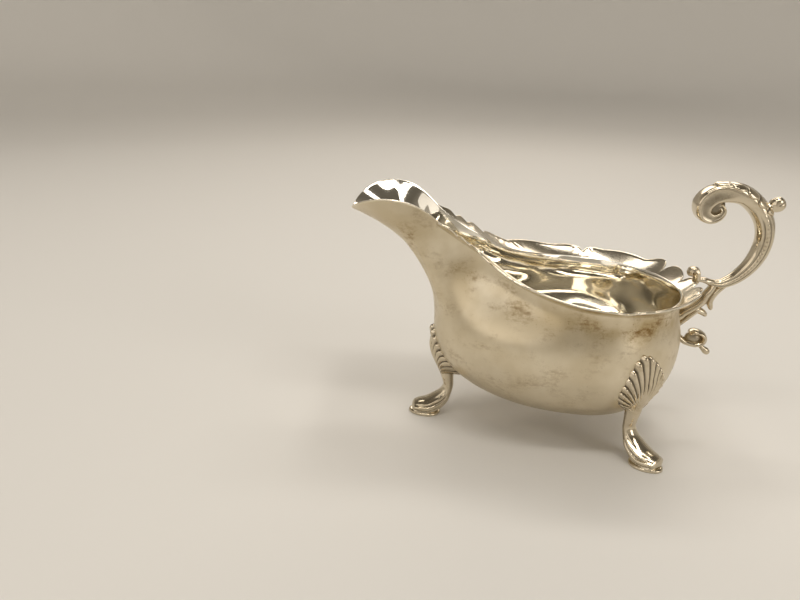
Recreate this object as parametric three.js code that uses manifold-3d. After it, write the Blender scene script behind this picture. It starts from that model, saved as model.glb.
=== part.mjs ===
// A silver sauce boat on three shell-and-hoof feet, with a flying scroll handle.
// Millimetres, +Z up. The spout points to -X, the handle to +X, and the boat is the same on both
// sides of the plane Y = 0. The three soles stand on Z = 0.

import * as THREE from 'three';
import { ParametricGeometry } from 'three/addons/geometries/ParametricGeometry.js';
import { mergeVertices } from 'three/addons/utils/BufferGeometryUtils.js';
import Module from 'manifold-3d';

const wasm = await Module();
wasm.setup();

// ---- Driving dimensions ---------------------------------------------------------------------

const CENTRE_SHIFT = -3.5;      // moves the middle of the whole length onto X = 0
const WALL = 1.1;               // thickness of the raised bowl
const GAP = 0.3;                // clearance between pieces that are soldered on the real boat

// Belly: an egg-shaped plan, a short half to the rear and a long half to the front.
const BELLY = {
  centre: 18, rear: 42, front: 69, halfWidth: 45.8, bottom: 10.8, widest: 48, roundness: 2.3,
};
// How far the wall above the belly keeps upright, and how far it keeps the mouth's lean, as parts
// of its length.
const WALL_PULL = { upright: 0.42, lean: 0.39 };
// Rings of the bowl from the middle of its bottom to the lip, outside and inside, and points round.
const BOWL_RINGS = { outside: 18, inside: 14, around: 72 };

// The mouth, from the middle of the rear round one side to the tip of the spout.
// Each row: x, y, z, the angle of the belly below it (0 rear, 180 front), and how far the wall
// leans outwards there (0 upright, 90 flat).
const MOUTH = [
  [58.4, 0, 68.6, 0, 16],
  [55.0, 17.5, 68.6, 23, 16],
  [46.8, 31.3, 68.6, 45, 16],
  [35.5, 40.3, 68.8, 63, 16],
  [20.0, 44.0, 69.2, 88, 15],
  [5.0, 41.6, 70.4, 103, 14],
  [-10.0, 34.0, 73.4, 119, 12],
  [-22.0, 25.8, 78.2, 132, 10],
  [-32.0, 19.4, 84.6, 143, 8],
  [-42.0, 16.6, 90.4, 151, 8],
  [-50.0, 17.4, 95.8, 157, 14],
  [-56.5, 21.0, 101.2, 161, 26],
  [-64.0, 25.0, 105.4, 165, 36],
  [-74.0, 26.0, 106.9, 169, 44],
  [-82.5, 22.4, 105.2, 172.5, 52],
  [-88.0, 13.2, 101.5, 176.3, 62],
  [-90.0, 0, 98.6, 180, 69],
];

// The turned-out flange round the mouth. Its cut edge, row by row: the belly angle, the width of
// the metal there, and how steeply it rises outwards, in degrees.
const FLANGE_THICK = 1.1;
const FLANGE_STEPS = 240;
const FLANGE_EDGE = [
  [0, 8.4, 34], [3.5, 7.6, 34], [6, 5.6, 35], [7.5, 2.8, 35], [9, 4.6, 35], [12, 6.2, 36],
  [16, 7.2, 38], [20, 7.4, 39], [23.5, 6.6, 39.5], [26, 4.4, 40], [27, 2.9, 40], [28.2, 5.8, 40],
  [30, 7.4, 40], [33, 8.0, 40], [37, 7.3, 40], [42.6, 5.7, 40], [50.8, 6.5, 39], [59.4, 7.2, 36],
  [69, 7.5, 31], [77, 8.8, 28], [81, 8.3, 27], [83.5, 5.6, 26], [86, 8.6, 25], [91, 10.1, 25],
  [99, 9.2, 26], [109, 10.0, 27], [117, 9.2, 28], [122, 7.6, 28], [129.5, 9.0, 29],
  [134.5, 8.0, 30], [137, 5.6, 30], [140, 7.7, 30], [144, 7.0, 30], [147, 4.6, 30],
  [149.5, 6.0, 30], [152, 3.4, 30], [154.5, 4.1, 30], [158.5, 1.2, 30],
];

// The scroll handle in the plane Y = 0: x, z, half thickness in the plane, half width across it.
const HANDLE = [
  [67.3, 73.4, 1.1, 2.3],
  [69.2, 73.1, 1.3, 2.4],
  [71.6, 72.3, 1.5, 2.2],
  [74.6, 71.8, 1.8, 2.3],
  [78.0, 72.4, 2.3, 2.7],
  [83.0, 75.6, 2.9, 3.2],
  [87.6, 80.8, 3.4, 3.6],
  [90.6, 87.2, 3.8, 3.9],
  [91.6, 94.2, 3.9, 4.1],
  [90.0, 101.2, 4.1, 4.4],
  [85.4, 107.2, 3.8, 4.6],
  [79.4, 111.5, 3.8, 5.0],
  [72.6, 112.7, 3.9, 5.3],
  [66.6, 111.6, 4.0, 5.5],
  [62.9, 107.8, 3.8, 5.5],
  [63.2, 103.6, 3.2, 5.2],
  [66.4, 101.6, 2.5, 4.8],
  [69.7, 102.5, 1.9, 4.4],
  [71.2, 104.9, 1.5, 4.2],
  [69.9, 106.9, 1.4, 4.0],
  [68.3, 105.9, 1.2, 3.9],
];
const HANDLE_MESH = { sides: 14, steps: 50 };
// Thin webs close the eyes of the volute and of the lower scroll: middle x and z, then radii.
const VOLUTE_WEB = { x: 67.4, z: 106.9, radii: [4.9, 3.4, 4.6] };
const LOWER_WEB = { x: 68.6, z: 45.4, radii: [4.0, 2.6, 3.0] };
// The leaf on the outer side of the handle: the part of the handle's length it covers, its
// thickness, how far round it reaches in degrees, and how narrow it is at its tip.
const LEAF = { from: 0.455, to: 0.645, thick: 0.7, halfTurn: 84, tip: 0.35 };
const BUD = { x: 94.2, z: 108.6, tilt: 32, sides: 16 };
// The bud's turned outline, from its root to its tip: radius, place along it.
const BUD_OUTLINE = [
  [0, -4.9], [2.2, -4.8], [2.5, -3.6], [2.4, -2.6], [2.9, -1.6], [3.3, -0.5], [3.4, 0.6],
  [3.2, 1.6], [2.7, 2.5], [1.9, 3.1], [0.9, 3.5], [0, 3.55],
];
// The little upright curl where the handle springs from the flange.
const CURL = [
  [65.5, 73.8, 1.4, 2.7], [65.6, 75.4, 1.6, 2.8], [64.8, 77.2, 1.6, 2.9], [63.0, 77.6, 1.4, 2.8],
  [62.0, 76.4, 1.0, 2.5],
];

// The strut under the handle, like a branch: a stem to the bowl, a hook, a spur and a second root.
const STRUT = [
  [73.6, 71.2, 1.6, 2.4], [72.6, 69.0, 1.8, 2.6], [70.9, 66.1, 2.0, 2.6], [69.5, 63.0, 2.1, 2.6],
  [65.9, 59.7, 2.0, 2.6], [62.4, 57.4, 2.2, 2.9], [60.7, 55.9, 2.4, 3.2], [57.5, 54.5, 2.6, 3.4],
];
const HOOK = [
  [79.5, 72.3, 1.2, 1.8], [75.8, 68.8, 1.4, 2.0], [73.8, 65.8, 1.5, 2.0], [73.0, 63.2, 1.5, 1.9],
  [73.7, 60.8, 1.2, 1.6], [74.3, 59.1, 0.7, 1.0],
];
const SPUR = [
  [65.5, 60.2, 1.5, 2.2], [68.6, 58.9, 1.6, 2.2], [71.0, 57.7, 1.4, 1.9], [72.7, 56.1, 0.8, 1.2],
];
const ROOT = [
  [69.2, 60.0, 1.2, 2.2], [66.5, 57.6, 1.4, 2.4], [64.2, 55.6, 1.5, 2.6], [62.2, 53.8, 1.5, 2.8],
  [60.8, 52.2, 1.2, 2.8], [59.8, 51.4, 1.0, 2.6],
];
// The scroll low on the bowl's rear, which rolls up on itself, and the drop under it.
const LOWER_SCROLL = [
  [58.8, 48.6, 1.1, 2.4], [60.2, 47.3, 1.3, 2.8], [61.9, 45.6, 1.4, 3.2], [64.2, 43.9, 1.5, 3.6],
  [66.9, 43.1, 1.6, 3.9], [69.6, 42.8, 1.6, 4.0], [72.0, 43.6, 1.6, 4.0], [73.0, 45.3, 1.5, 3.9],
  [72.3, 47.1, 1.4, 3.8], [70.6, 48.1, 1.3, 3.7], [68.3, 48.4, 1.2, 3.5], [66.2, 47.4, 0.9, 3.0],
];
const DROP = [
  [72.2, 41.7, 0.9, 1.0], [73.6, 40.5, 1.2, 1.4], [75.0, 39.4, 1.6, 1.7], [76.2, 38.4, 1.3, 1.4],
  [76.9, 37.8, 0.6, 0.7],
];

// A leg in its own upright plane: distance out from its centre, z, half thickness, half width.
const LEG = [
  [40.0, 33.0, 5.4, 5.6], [42.4, 28.6, 5.2, 5.2], [43.4, 24.6, 4.2, 4.6], [43.4, 21.2, 3.4, 4.1],
  [42.8, 17.6, 2.7, 3.7], [42.6, 14.4, 2.5, 3.5], [44.0, 10.6, 3.0, 4.0], [47.0, 7.0, 3.8, 5.0],
  [51.4, 3.9, 4.1, 5.8], [55.8, 2.8, 3.8, 5.4], [59.4, 2.1, 2.9, 4.1],
];
// The pad under the hoof: how far out its middle is, its half length, half width and height, and
// how much narrower it grows towards the toe.
const SOLE = { middle: 53.2, long: 7.6, wide: 6.4, high: 1.5, taper: 0.16, around: 28 };
// Rings of the pad from its underside up: the part of the height, the part of the size.
const SOLE_RINGS = [[-0.5, 0.96], [0, 0.96], [0.25, 1], [0.8, 1], [1, 0.9]];
// `rise` is how much higher the knee and shell sit on the rear legs, drawn out between two heights.
const RISE_BETWEEN = [15, 24];
// Each shell has its own middle line on the belly: the point it is turned about, that turn, how
// far it tips towards the spout, its height, and how much nearer its knee lies to that point.
const LEGS = [
  {
    name: 'front', centre: 0, turn: 180, rise: 0,
    shell: { centre: 0, turn: 180, lean: 0, height: 25, nearer: 0 },
  },
  {
    name: 'rear_left', centre: 7.6, turn: 48, rise: 3.2,
    shell: { centre: 16.5, turn: 58, lean: -14, height: 29.5, nearer: -5.4 },
  },
  {
    name: 'rear_right', centre: 7.6, turn: -48, rise: 3.2,
    shell: { centre: 16.5, turn: -58, lean: 14, height: 29.5, nearer: -5.4 },
  },
];
// A shell fans out in flutes from a focus at the knee's foot. Its face lies `lip` above the belly.
const SHELL = {
  focus: 20.4, spread: 74, flutes: 19, fluteDepth: 0.75, scallop: 0.05, lip: 1.8, depth: 12,
};
const SHELL_MESH = { ribs: 5, stepsPerFlute: 4 };
// The shell's edge: degrees from its middle line, and its distance out as a part of the height.
const SHELL_EDGE = [
  [0, 1], [6, 0.955], [15, 0.84], [27, 0.7], [40, 0.59], [48, 0.5], [58, 0.34], [66, 0.22],
  [74, 0.12],
];
// The knee swells out under the shell: distance out on the middle line, z. Its sides fall away by
// the square of the distance across, over KNEE_BREADTH.
const KNEE = [[46.4, 20], [48.8, 23], [51.2, 28], [52.4, 33], [51.6, 39], [50.4, 46]];
const KNEE_BREADTH = 18;

const SILVER = 0xd6ccb8;

// ---- Small tools ----------------------------------------------------------------------------

const radians = THREE.MathUtils.degToRad;
const { clamp, smoothstep } = THREE.MathUtils;
const point = (x, y, z) => new THREE.Vector3(x, y, z);

// Reads a table as a smooth curve: t from 0 to 1 runs evenly over the rows.
function smoothRows(rows) {
  const columns = rows[0].map((_, c) => rows.map((row) => row[c]));
  return (t) => columns.map((column) => {
    const place = clamp(t, 0, 1) * (column.length - 1);
    const i = Math.min(Math.floor(place), column.length - 2);
    const before = column[Math.max(i - 1, 0)];
    const after = column[Math.min(i + 2, column.length - 1)];
    return hermite(place - i, before, column[i], column[i + 1], after);
  });
}

// The Catmull-Rom cubic from b to c, with a before and d after them.
function hermite(w, a, b, c, d) {
  const startSlope = (c - a) / 2;
  const endSlope = (d - b) / 2;
  const rise = c - b;
  const square = 3 * rise - 2 * startSlope - endSlope;
  const cube = startSlope + endSlope - 2 * rise;
  return b + w * (startSlope + w * (square + w * cube));
}

// Straight-line look-up in a table: the values beside the key in its first column.
function lookUp(rows, key) {
  const i = clamp(rows.findIndex((row) => row[0] >= key), 1, rows.length - 1);
  const share = clamp((key - rows[i - 1][0]) / (rows[i][0] - rows[i - 1][0]), 0, 1);
  return rows[i].slice(1).map((value, c) => rows[i - 1][c + 1] + (value - rows[i - 1][c + 1]) * share);
}

// A closed parametric surface as a solid: u and v run from 0 to 1, seams and poles meet exactly.
function solidFrom(surface, slices, stacks) {
  const place = (u, v, target) => target.copy(surface(u === 1 ? 0 : u, v));
  const geometry = new ParametricGeometry(place, slices, stacks);
  geometry.deleteAttribute('normal');
  geometry.deleteAttribute('uv');
  const merged = mergeVertices(geometry, 1e-4);
  const corners = merged.attributes.position;
  const index = Array.from(merged.index.array);
  const triangles = [];
  let volume = 0;
  for (let i = 0; i < index.length; i += 3) {
    const [a, b, c] = index.slice(i, i + 3);
    if (a === b || b === c || c === a) continue;
    triangles.push(a, b, c);
    const [pa, pb, pc] = [a, b, c].map((k) => point().fromBufferAttribute(corners, k));
    volume += pa.dot(pb.cross(pc));
  }
  if (volume < 0) triangles.reverse();
  const mesh = new wasm.Mesh({
    numProp: 3,
    vertProperties: new Float32Array(corners.array),
    triVerts: new Uint32Array(triangles),
  });
  return new wasm.Manifold(mesh);
}

function geometryFrom(solid) {
  const mesh = solid.getMesh();
  const geometry = new THREE.BufferGeometry();
  geometry.setAttribute('position', new THREE.Float32BufferAttribute(mesh.vertProperties, 3));
  geometry.setIndex(Array.from(mesh.triVerts));
  geometry.computeVertexNormals();
  return geometry;
}

// A bar swept through rows of x, z, half thickness, half width, in the plane Y = 0, round ends.
// `swell` makes it thicker all round, for trimming a neighbour.
function sweptBar(rows, sides, steps, swell = 0, place = point) {
  const along = smoothRows(rows);
  return solidFrom((u, v) => {
    const t = clamp((v * (steps + 2) - 1) / steps, 0, 1);
    const { x, z, thick, wide, nx, nz } = barSection(along, t);
    const pole = v === 0 || v === 1;
    const out = pole ? 0 : (thick + swell) * Math.cos(2 * Math.PI * u);
    const side = pole ? 0 : (wide + swell) * Math.sin(2 * Math.PI * u);
    return place(x + out * nx, side, z + out * nz);
  }, sides, steps + 2);
}

// The middle, size and outward direction of a swept bar's section at t.
function barSection(along, t) {
  const [x, z, thick, wide] = along(t);
  const [x0, z0] = along(t - 0.01);
  const [x1, z1] = along(t + 0.01);
  const run = Math.hypot(x1 - x0, z1 - z0);
  return { x, z, thick, wide, nx: (z1 - z0) / run, nz: (x0 - x1) / run };
}

// An ellipsoid in the plane Y = 0, as a web.
function webSolid({ x, z, radii }) {
  const geometry = new THREE.SphereGeometry(1, 16, 10);
  geometry.scale(...radii);
  geometry.translate(x, 0, z);
  return solidOf(geometry);
}

// The largest body of a solid, without the slivers that trimming can leave.
function largestBody(solid) {
  const bodies = solid.decompose();
  return bodies.reduce((best, body) => (body.volume() > best.volume() ? body : best));
}

// A closed three.js geometry as a solid.
function solidOf(geometry) {
  geometry.deleteAttribute('normal');
  geometry.deleteAttribute('uv');
  const merged = mergeVertices(geometry, 1e-4);
  const triangles = [];
  for (let i = 0; i < merged.index.count; i += 3) {
    const corners = [0, 1, 2].map((k) => merged.index.getX(i + k));
    if (new Set(corners).size === 3) triangles.push(...corners);
  }
  const mesh = new wasm.Mesh({
    numProp: 3,
    vertProperties: new Float32Array(merged.attributes.position.array),
    triVerts: new Uint32Array(triangles),
  });
  return new wasm.Manifold(mesh);
}

// ---- Bowl and flange ------------------------------------------------------------------------

const mouthRows = smoothRows(MOUTH);

// The mouth at s, from 0 at the rear round the left side to 0.5 at the spout's tip and on to 1.
function mouth(s) {
  const half = s <= 0.5 ? 2 * s : 2 - 2 * s;
  const side = s <= 0.5 ? 1 : -1;
  const [x, y, z, angle, lean] = mouthRows(half);
  return { x, y: side * Math.max(y, 0), z, angle: side * angle, lean };
}

// The horizontal direction square to the mouth, pointing away from the bowl.
function mouthOutward(s) {
  const step = 0.004;
  const a = mouth((s - step + 1) % 1);
  const b = mouth((s + step) % 1);
  const run = Math.hypot(b.x - a.x, b.y - a.y);
  return { x: (b.y - a.y) / run, y: -(b.x - a.x) / run };
}

function bellyPoint(angle, reach, z) {
  const c = Math.cos(radians(angle));
  const s = Math.sin(radians(angle));
  const length = c > 0 ? BELLY.rear : BELLY.front;
  return point(BELLY.centre + length * c * reach, BELLY.halfWidth * s * reach, z);
}

// How far out the belly reaches at height z, as a part of its widest.
function bellyReach(z) {
  const drop = clamp((BELLY.widest - z) / (BELLY.widest - BELLY.bottom), 0, 1);
  return (1 - drop ** BELLY.roundness) ** (1 / BELLY.roundness);
}

const BELLY_SHARE = 0.5;        // part of each rib that lies below the widest level

// The outside of the bowl. v runs up a rib, from the middle of the bottom to the mouth.
function bowlOutside(s, v) {
  const m = mouth(s);
  if (v <= BELLY_SHARE) {
    const turn = (Math.PI / 2) * (v / BELLY_SHARE);
    const power = 2 / BELLY.roundness;
    const reach = Math.sin(turn) ** power;
    const depth = Math.max(Math.cos(turn), 0) ** power;
    return bellyPoint(m.angle, reach, BELLY.widest - (BELLY.widest - BELLY.bottom) * depth);
  }
  const out = mouthOutward(s);
  const start = bellyPoint(m.angle, 1, BELLY.widest);
  const end = point(m.x, m.y, m.z);
  const length = start.distanceTo(end);
  const lean = radians(m.lean);
  const rise = start.clone().add(point(0, 0, WALL_PULL.upright * length));
  const leaning = point(out.x * Math.sin(lean), out.y * Math.sin(lean), Math.cos(lean));
  const arrive = end.clone().addScaledVector(leaning, -WALL_PULL.lean * length);
  const wall = new THREE.CubicBezierCurve3(start, rise, arrive, end);
  return wall.getPoint((v - BELLY_SHARE) / (1 - BELLY_SHARE));
}

function bowlNormal(s, v) {
  const step = 0.002;
  const w = clamp(v, 0.01, 1 - step);
  const around = bowlOutside((s + step) % 1, w).sub(bowlOutside((s - step + 1) % 1, w));
  const up = bowlOutside(s, w + step).sub(bowlOutside(s, w - step));
  return around.cross(up).normalize();
}

// The bowl's whole skin: up the outside to the lip, then down the inside.
const BOWL_STEPS = BOWL_RINGS.outside + 1 + BOWL_RINGS.inside;

function bowlSurface(u, v) {
  const ring = Math.round(v * BOWL_STEPS);
  if (ring <= BOWL_RINGS.outside) return bowlOutside(u, ring / BOWL_RINGS.outside);
  const share = (BOWL_STEPS - ring) / BOWL_RINGS.inside;
  if (share === 0) return point(BELLY.centre, 0, BELLY.bottom + WALL);
  return bowlOutside(u, share).addScaledVector(bowlNormal(u, share), -WALL);
}

// The belly swollen by the soldering gap, to trim what is fixed to it: the part of each rib that
// it keeps, and the height of the cone that closes it.
const TRIM = { share: 0.8, top: 66, around: 72, rings: 24 };

function swollenBelly() {
  return solidFrom((u, v) => {
    if (v === 1) return point(BELLY.centre, 0, TRIM.top);
    const normal = v === 0 ? point(0, 0, -1) : bowlNormal(u, v * TRIM.share);
    return bowlOutside(u, v * TRIM.share).addScaledVector(normal, GAP);
  }, TRIM.around, TRIM.rings);
}

function flangeSolid(swell = 0) {
  const half = mouthShareAt(FLANGE_EDGE[FLANGE_EDGE.length - 1][0]);
  return solidFrom((u, v) => {
    const s = (half * (2 * v - 1) + 1) % 1;
    const m = mouth(s);
    const out = mouthOutward(s);
    const [edge, rise] = lookUp(FLANGE_EDGE, Math.abs(m.angle));
    const width = edge + swell;
    const slope = Math.tan(radians(rise));
    const under = -FLANGE_THICK - swell;
    const section = [[GAP, swell], [width, swell], [width, under], [GAP, under]];
    const middle = [(GAP + width) / 2, -FLANGE_THICK / 2];
    const [offset, height] = v === 0 || v === 1 ? middle : section[Math.round(u * 4) % 4];
    return point(m.x + out.x * offset, m.y + out.y * offset, m.z + slope * offset + height);
  }, 4, FLANGE_STEPS);
}

// The share of the mouth's length, 0 to 0.5, at which the belly angle is reached.
function mouthShareAt(angle) {
  let [low, high] = [0, 0.5];
  for (let i = 0; i < 30; i++) {
    const middle = (low + high) / 2;
    if (mouth(middle).angle < angle) low = middle;
    else high = middle;
  }
  return low;
}

// ---- Handle ---------------------------------------------------------------------------------

const handleBar = (swell = 0) => sweptBar(HANDLE, HANDLE_MESH.sides, HANDLE_MESH.steps, swell);

// The leaf laid over the handle's outer side: v along it, u round its two faces.
function leafSolid() {
  const along = smoothRows(HANDLE);
  const across = 8;
  const steps = 20;
  return solidFrom((u, v) => {
    const share = clamp((v * (steps + 2) - 1) / steps, 0, 1);
    const { x, z, thick, wide, nx, nz } = barSection(along, LEAF.from + (LEAF.to - LEAF.from) * share);
    const breadth = LEAF.tip + (1 - LEAF.tip) * Math.sin(Math.PI * Math.sqrt(share));
    const i = Math.round(u * 2 * across);
    const outer = i < across;
    const pole = v === 0 || v === 1;
    const place = 1 - 2 * (outer ? i : 2 * across - 1 - i) / (across - 1);
    const turn = pole ? 0 : radians(LEAF.halfTurn) * breadth * place;
    const lift = GAP + LEAF.thick * (pole ? 0.5 : outer ? 1 : 0);
    const out = (thick + lift) * Math.cos(turn);
    return point(x + out * nx, (wide + lift) * Math.sin(turn), z + out * nz);
  }, 2 * across, steps + 2);
}

function budSolid() {
  const points = BUD_OUTLINE.map(([r, along]) => new THREE.Vector2(r, along));
  const geometry = new THREE.LatheGeometry(points, BUD.sides);
  geometry.rotateZ(radians(BUD.tilt - 90));
  geometry.rotateX(Math.PI / 2);
  geometry.translate(BUD.x, 0, BUD.z);
  return largestBody(solidOf(geometry).subtract(handleBar(2 * GAP + LEAF.thick)));
}

function strutSolid(trim) {
  const branches = [HOOK, SPUR, ROOT].map((rows) => sweptBar(rows, 10, 10));
  const whole = branches.reduce((solid, branch) => solid.add(branch), sweptBar(STRUT, 12, 16));
  return largestBody(trim.reduce((solid, neighbour) => solid.subtract(neighbour), whole));
}

function lowerScrollSolid(belly) {
  const scroll = sweptBar(LOWER_SCROLL, 12, 26).add(webSolid(LOWER_WEB)).add(sweptBar(DROP, 10, 8));
  return largestBody(scroll.subtract(belly));
}

// ---- Legs -----------------------------------------------------------------------------------

// Turns a place in an upright plane (out, across, up) of a leg or a shell into the boat's frame.
function placeOnLeg({ centre, turn }, out, across, up) {
  const c = Math.cos(radians(turn));
  const s = Math.sin(radians(turn));
  return point(centre + out * c - across * s, out * s + across * c, up);
}

// How far out from a shell's centre the belly's skin is, at a place across and up.
function bellyOut({ centre, turn }, across, up) {
  const c = Math.cos(radians(turn));
  const s = Math.sin(radians(turn));
  const lengthX = (c > 0 ? BELLY.rear : BELLY.front) * bellyReach(up);
  const lengthY = BELLY.halfWidth * bellyReach(up);
  const [dx, dy] = [c / lengthX, s / lengthY];
  const ex = (centre - across * s - BELLY.centre) / lengthX;
  const ey = across * c / lengthY;
  const [a, b, k] = [dx * dx + dy * dy, dx * ex + dy * ey, ex * ex + ey * ey - 1];
  return (-b + Math.sqrt(Math.max(b * b - a * k, 0))) / a;
}

// The shell: sections fan out from a focus, v across the fan, u round one section. `swell` gives
// a smooth, slightly larger and much deeper body, to trim the leg that carries the shell.
function shellSolid({ rise, shell }, swell = 0) {
  const knee = smoothRows(KNEE);
  const { ribs, stepsPerFlute } = SHELL_MESH;
  const steps = stepsPerFlute * SHELL.flutes;
  const focus = SHELL.focus + rise - 2 * swell;
  return solidFrom((u, v) => {
    const fan = clamp((v * (steps + 2) - 1) / steps, 0, 1);
    const crest = swell ? 1 : Math.abs(Math.sin(Math.PI * SHELL.flutes * fan));
    const angle = SHELL.spread * (2 * fan - 1);
    const [edge] = lookUp(SHELL_EDGE, Math.abs(angle));
    const reach = shell.height * edge * (1 - SHELL.scallop * (1 - crest)) + 2 * swell;
    const i = Math.round(u * 2 * (ribs + 1));
    const outer = i <= ribs;
    const pole = v === 0 || v === 1;
    const share = pole ? 0.6 : (outer ? i : 2 * ribs + 1 - i) / ribs;
    const across = -reach * share * Math.sin(radians(angle + shell.lean));
    const up = focus + reach * share * Math.cos(radians(angle + shell.lean));
    const [kneeOut] = knee((up - rise - KNEE[0][1]) / (KNEE[KNEE.length - 1][1] - KNEE[0][1]));
    const face = bellyOut(shell, across, up) + SHELL.lip;
    const boss = kneeOut + shell.nearer - across * across / KNEE_BREADTH;
    const flute = SHELL.fluteDepth * (crest - 0.7) * share;
    const top = Math.max(face, boss) + flute + swell;
    const back = top - SHELL.depth - 8 * swell;
    return placeOnLeg(shell, pole ? (top + back) / 2 : outer ? top : back, across, up);
  }, 2 * (ribs + 1), steps + 2);
}

// The pad under a hoof: v from the middle of its underside up to the middle of its top.
function soleSolid(leg) {
  return solidFrom((u, v) => {
    const ring = Math.round(v * (SOLE_RINGS.length + 1)) - 1;
    const [height, reach] = SOLE_RINGS[clamp(ring, 0, SOLE_RINGS.length - 1)];
    const size = v === 0 || v === 1 ? 0 : reach;
    const turn = 2 * Math.PI * u;
    const across = SOLE.wide * size * Math.sin(turn) * (1 - SOLE.taper * Math.cos(turn));
    return placeOnLeg(leg, SOLE.middle + SOLE.long * size * Math.cos(turn), across, SOLE.high * height);
  }, SOLE.around, SOLE_RINGS.length + 1);
}

// Everything below the floor the boat stands on.
function groundSolid() {
  const geometry = new THREE.BoxGeometry(200, 200, 20);
  geometry.translate(0, 0, -10);
  return solidOf(geometry);
}

// A leg from outside the belly's skin down to its flat sole.
function legSolid(leg, belly) {
  const lift = (up) => leg.rise * smoothstep(up, ...RISE_BETWEEN);
  const place = (out, across, up) => placeOnLeg(leg, out, across, up + lift(up));
  const whole = sweptBar(LEG, 16, 26, 0, place).add(soleSolid(leg)).subtract(groundSolid());
  return largestBody(whole.subtract(belly).subtract(shellSolid(leg, GAP)));
}

// ---- The whole boat -------------------------------------------------------------------------

function silverMaterial(roughness) {
  return new THREE.MeshStandardMaterial({ color: SILVER, metalness: 1, roughness });
}

const boat = new THREE.Group();
boat.position.x = CENTRE_SHIFT;

function addPiece(name, solid, roughness) {
  const piece = new THREE.Mesh(geometryFrom(solid), silverMaterial(roughness));
  piece.name = name;
  boat.add(piece);
}

const belly = swollenBelly();
const swollenHandle = handleBar(GAP);
const swollenFlange = flangeSolid(GAP);

addPiece('bowl', solidFrom(bowlSurface, BOWL_RINGS.around, BOWL_STEPS), 0.12);
addPiece('rim_flange', flangeSolid(), 0.12);
addPiece('handle_scroll', largestBody(handleBar().add(webSolid(VOLUTE_WEB)).subtract(swollenFlange)), 0.15);
addPiece('handle_leaf', leafSolid(), 0.18);
addPiece('handle_bud', budSolid(), 0.15);
const curl = sweptBar(CURL, 12, 14).subtract(swollenFlange).subtract(swollenHandle);
addPiece('handle_root_curl', largestBody(curl), 0.18);
addPiece('handle_strut', strutSolid([belly, swollenHandle, swollenFlange]), 0.18);
addPiece('lower_scroll', lowerScrollSolid(belly), 0.18);
for (const leg of LEGS) {
  addPiece(`leg_${leg.name}`, legSolid(leg, belly), 0.18);
  addPiece(`shell_${leg.name}`, largestBody(shellSolid(leg).subtract(belly)), 0.2);
}

export default boat;
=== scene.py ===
# %% [markdown]
# # A silver sauce boat
# A sauce boat is raised from one sheet of silver: a deep bowl, drawn out at one end into a spout.
# Cast pieces are soldered on: a turned-out flange round the mouth, a flying scroll handle with a
# strut under it, and three legs with fluted shells for knees and hooves for feet.
# The frame gives each piece's place and size, so every new piece is made where its CAD node is.

# %% Load the frame
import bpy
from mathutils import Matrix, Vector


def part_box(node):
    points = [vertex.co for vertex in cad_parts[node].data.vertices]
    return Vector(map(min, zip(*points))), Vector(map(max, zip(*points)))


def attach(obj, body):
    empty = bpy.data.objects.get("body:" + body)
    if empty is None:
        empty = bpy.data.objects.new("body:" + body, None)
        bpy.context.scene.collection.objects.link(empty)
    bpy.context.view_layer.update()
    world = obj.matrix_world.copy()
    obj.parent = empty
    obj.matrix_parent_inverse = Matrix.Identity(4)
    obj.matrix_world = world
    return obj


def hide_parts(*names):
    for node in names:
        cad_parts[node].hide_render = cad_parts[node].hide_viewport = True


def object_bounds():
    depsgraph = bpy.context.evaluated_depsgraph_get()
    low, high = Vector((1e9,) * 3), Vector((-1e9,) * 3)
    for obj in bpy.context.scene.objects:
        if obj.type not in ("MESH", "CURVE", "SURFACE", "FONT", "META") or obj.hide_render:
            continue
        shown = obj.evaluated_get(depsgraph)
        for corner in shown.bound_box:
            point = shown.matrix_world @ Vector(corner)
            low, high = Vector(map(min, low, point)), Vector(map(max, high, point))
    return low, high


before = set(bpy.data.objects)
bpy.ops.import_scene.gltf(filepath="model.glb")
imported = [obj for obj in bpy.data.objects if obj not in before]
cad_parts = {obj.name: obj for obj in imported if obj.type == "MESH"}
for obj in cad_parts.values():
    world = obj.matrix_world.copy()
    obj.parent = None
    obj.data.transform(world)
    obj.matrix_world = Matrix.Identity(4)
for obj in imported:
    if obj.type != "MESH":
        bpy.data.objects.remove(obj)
CAD_BOX = [list(corner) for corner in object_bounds()]
MM, TO_MM = 0.001, 1000         # a millimetre in metres, and metres to millimetres

import bpy
import numpy as np
from mathutils import Matrix, Vector

print("frame:", len(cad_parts), "nodes")
print("CAD box in mm", np.round(np.array(CAD_BOX) * TO_MM, 1).tolist())

# %% [markdown]
# ## Drawing with tables
# A silversmith works from a few templates, and a surface here comes from a few rows of numbers in
# the same way. One function draws a smooth curve through the rows. Sizes are in millimetres until
# the mesh is made. All the points of a surface are worked out together as numpy arrays.

# %% A smooth curve through a table
def curve_through(keys, rows, at, corners=()):
    """Between two rows the curve is a cubic. Its slope at a row is the mean of the slopes of the
    straight lines on the two sides, except at a corner, where each side keeps its own slope."""
    keys, rows, at = np.asarray(keys, float), np.asarray(rows, float), np.asarray(at, float)
    secant = np.diff(rows, axis=0) / np.diff(keys)[:, None]
    arriving, leaving = np.vstack([secant[:1], secant]), np.vstack([secant, secant[-1:]])
    soft = ~np.isin(keys, corners)
    mean = (arriving + leaving) / 2
    arriving[soft], leaving[soft] = mean[soft], mean[soft]
    i = np.clip(np.searchsorted(keys, at, side="right") - 1, 0, len(keys) - 2)
    span = (keys[i + 1] - keys[i])[..., None]
    w = (at - keys[i])[..., None] / span
    rise = rows[i + 1] - rows[i]
    a, b = leaving[i] * span, arriving[i + 1] * span
    return rows[i] + w * (a + w * (3 * rise - 2 * a - b + w * (a + b - 2 * rise)))


def along_rows(rows, t):
    """The curve through evenly spaced rows, with t from 0 at the first to 1 at the last."""
    return curve_through(np.arange(len(rows)), rows, np.clip(t, 0, 1) * (len(rows) - 1))


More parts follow.
